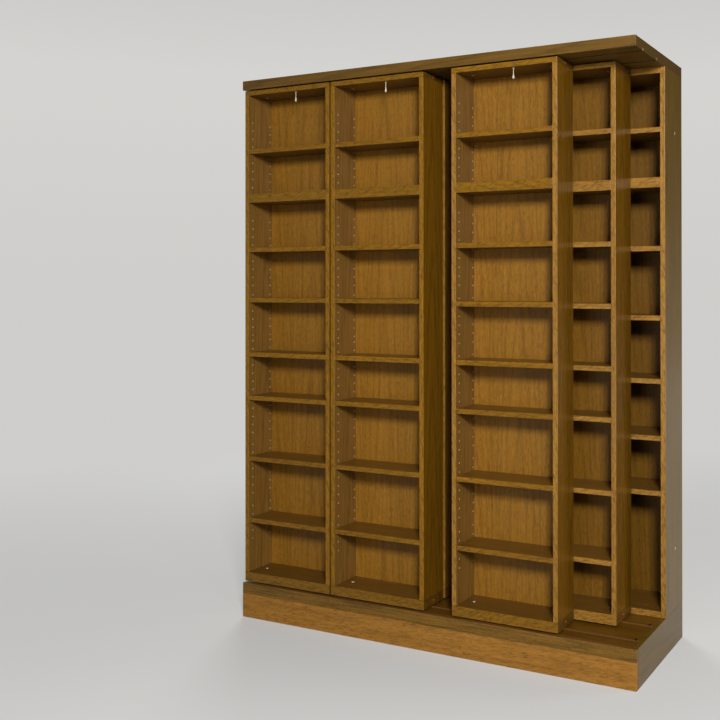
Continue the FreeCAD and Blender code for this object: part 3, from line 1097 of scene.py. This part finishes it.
for cabinet in cabinets[:3]:
    levers = []
    for solid in fittings_of(cabinet, lambda size: 0.0135 < size.x < 0.0145 and size.z > 0.030):
        collar, length = solid.size.x / 2, solid.size.z
        profile = [(0, 0)]
        for step in range(1, 6):
            turn = math.radians(18 * step)
            profile.append((lever_tip * (1 - math.cos(turn)), lever_tip * math.sin(turn)))
        profile += [(length * 0.22, lever_tip * 0.92), (length * 0.34, lever_tip * 0.62),
                    (length * 0.44, lever_stem + 0.0003), (length * 0.60, lever_stem),
                    (length - 0.0060, lever_stem), (length - 0.0040, lever_stem + 0.0008),
                    (length - 0.0030, collar * 0.7), (length - 0.0016, collar * 0.9), (length, collar * 0.9)]
        levers.append(turned(profile, Z, solid.foot))
    put_on_cabinet(cabinet, "lever", levers, [white_plastic])


# ---------------- cabinets: wheels
# Nylon wheels, turned with a flange each side of the tread and moulded in one with their axle.

wheel_colours = ((188, 182, 168), (212, 206, 192))
flange_height = 0.0030
wheel_chamfer = 0.0006
hub = 0.0062
web = 0.0030
axle = 0.0030

wheel_nylon = moulded("wheel_nylon", wheel_colours, 0.38)
for cabinet in cabinets:
    for side in ("left", "right"):
        node = cabinet + "_" + side + "_wheel"
        middle, flange, half_axle = wheel_sizes(cabinet, side)
        tread = flange - flange_height
        half = [(0, tread), (tread_half_width, tread), (tread_half_width, flange - wheel_chamfer),
                (tread_half_width + wheel_chamfer, flange), (wheel_half_width - wheel_chamfer, flange),
                (wheel_half_width, flange - wheel_chamfer), (wheel_half_width, tread - 0.0016),
                (wheel_half_width - web, tread - 0.0030), (wheel_half_width - web, hub),
                (wheel_half_width, hub - wheel_chamfer), (wheel_half_width, axle),
                (half_axle - wheel_chamfer, axle), (half_axle, axle - wheel_chamfer)]
        profile = [(-along, radius) for along, radius in half[:0:-1]] + half
        put_on(cabinet + "." + side + "_wheel", [turned(profile, Y, middle)], [wheel_nylon], node,
               [node])


# ---------------- floor and light
# A pale studio floor, a strong soft lamp high on the right with four weaker ones round the bookcase,
# and a pale backdrop that is darker to the right behind, where the side panels mirror it.

floor_colour = (232, 232, 230)
floor_bounce = (120, 120, 118)
floor_half_width = 14.0
far_floor_level = 0.62
fade_start, fade_end, fade_least = 0.8, 5.0, 0.35
room_colour = (255, 254, 251)
backdrop_levels = ((0.00, 0.62), (0.50, 0.62), (0.60, 0.66), (0.70, 0.50), (1.00, 0.25))
room_levels = ((0.00, 0.30), (0.50, 0.30), (0.54, 0.12), (0.60, 0.05), (1.00, 0.05))
backdrop_fill = 0.45
room_fill = 0.012
bookcase_middle = (0.0, 0.2, 1.2)


def shown_ray(finish):
    """1 for a ray from the camera, a gloss or a glass, and 0 for one that only gathers light."""
    ray = finish.add("LightPath", {}).outputs
    straight = finish.number("MAXIMUM", ray["Is Camera Ray"], ray["Is Glossy Ray"])
    return finish.number("MAXIMUM", straight, ray["Is Transmission Ray"])


ground = bmesh.new()
bmesh.ops.create_grid(ground, x_segments=8, y_segments=8, size=floor_half_width)
ground_mesh = bpy.data.meshes.new("studio_floor")
ground.to_mesh(ground_mesh)
ground.free()
paper = Finish("studio_paper")
shown = shown_ray(paper)
here = paper.add("TexCoord", {}).outputs["Object"]
away = paper.add("VectorMath", {0: here}, operation="LENGTH").outputs["Value"]
paper.set(paper.shader, {"Base Color": paper.mix(shown, linear(floor_bounce), linear(floor_colour)),
                         "Roughness": 0.9, "Specular IOR Level": 0.1})
glow = paper.add("Emission", {"Color": linear(room_colour), "Strength": far_floor_level})
fade = paper.number("MULTIPLY", paper.between(away, fade_start, fade_end, fade_least, 1.0), shown)
blend = paper.add("MixShader", {0: fade, 1: paper.shader.outputs[0], 2: glow.outputs[0]})
paper.set(paper.nodes["Material Output"], {"Surface": blend.outputs[0]})
ground_mesh.materials.append(paper.material)
studio_floor = bpy.data.objects.new("studio_floor", ground_mesh)
bpy.context.scene.collection.objects.link(studio_floor)


def soft_lamp(name, place, aim, width, height, power, in_gloss=True):
    """A rectangular soft lamp at a place, turned to look at a point. in_gloss says if gloss shows it."""
    lamp = bpy.data.lights.new(name, "AREA")
    lamp.shape = "RECTANGLE"
    lamp.size, lamp.size_y, lamp.energy = width, height, power
    holder = bpy.data.objects.new(name, lamp)
    holder.location = place
    holder.visible_camera = False
    holder.visible_glossy = in_gloss
    holder.rotation_euler = (Vector(aim) - Vector(place)).to_track_quat("-Z", "Y").to_euler()
    bpy.context.scene.collection.objects.link(holder)


soft_lamp("main_lamp", (2.86, -4.53, 2.95), bookcase_middle, 0.8, 0.8, 288)
soft_lamp("side_lamp", (5.28, -4.23, 1.70), (0.6, 0.2, 0.8), 1.1, 1.1, 42)
soft_lamp("front_lamp", (0.85, -3.7, 0.8), (0.5, 0.2, 0.8), 1.2, 1.0, 16)
soft_lamp("low_lamp", (3.2, 1.3, 0.8), (0.9, 0.3, 0.35), 1.0, 0.7, 24)
soft_lamp("rear_lamp", (-3.6, 4.8, 2.8), bookcase_middle, 2.4, 2.0, 170, False)

world = bpy.data.worlds.new("room")
room = Finish("room", world)
direction = room.add("SeparateXYZ", {"Vector": room.add("TexCoord", {}).outputs["Generated"]}).outputs


def by_height(levels):
    """A level that changes with how far up a ray looks, from straight down at 0 to straight up at 1."""
    ramp = room.add("ValToRGB", {"Fac": room.between(direction["Z"], -1.0, 1.0)})
    stops = ramp.color_ramp.elements
    for place, level in levels:
        stop = stops.new(place) if 0 < place < 1 else stops[0 if place == 0 else -1]
        stop.color = (level, level, level, 1)
    return ramp.outputs["Color"]


behind = room.between(direction["Y"], 0.0, 0.3)
right = room.between(direction["X"], -0.15, 0.02)
dark_side = room.number("MULTIPLY", right, behind)
pale_side = room.number("MULTIPLY", room.number("SUBTRACT", 1.0, right), behind)
seen = room.mix(dark_side, by_height(backdrop_levels), by_height(room_levels))
fill = room.between(pale_side, 0.0, 1.0, room_fill, backdrop_fill)
room.set(room.shader, {"Color": linear(room_colour), "Strength": room.mix(shown_ray(room), fill, seen)})
bpy.context.scene.world = world
bpy.context.scene.view_settings.view_transform = "Standard"


# ---------------- camera
# It stands at eye height to the right of the bookcase and looks across it, with a shifted frame.

camera_place = (1.9848, -3.7873, 1.4661)
camera_yaw = 0.47524
camera_pitch = 0.004126
camera_roll = -0.0010752

camera = bpy.data.cameras.new("camera")
camera.lens = 49.697
camera.sensor_width = 36
camera.shift_x = -0.14306
camera.shift_y = -0.10994
view = bpy.data.objects.new("camera", camera)
view.rotation_mode = "XYZ"
turn = (Matrix.Rotation(camera_yaw, 3, "Z") @ Matrix.Rotation(math.pi / 2 + camera_pitch, 3, "X")
        @ Matrix.Rotation(camera_roll, 3, "Z"))
view.rotation_euler = turn.to_euler()
view.location = camera_place
bpy.context.scene.collection.objects.link(view)
bpy.context.scene.camera = view
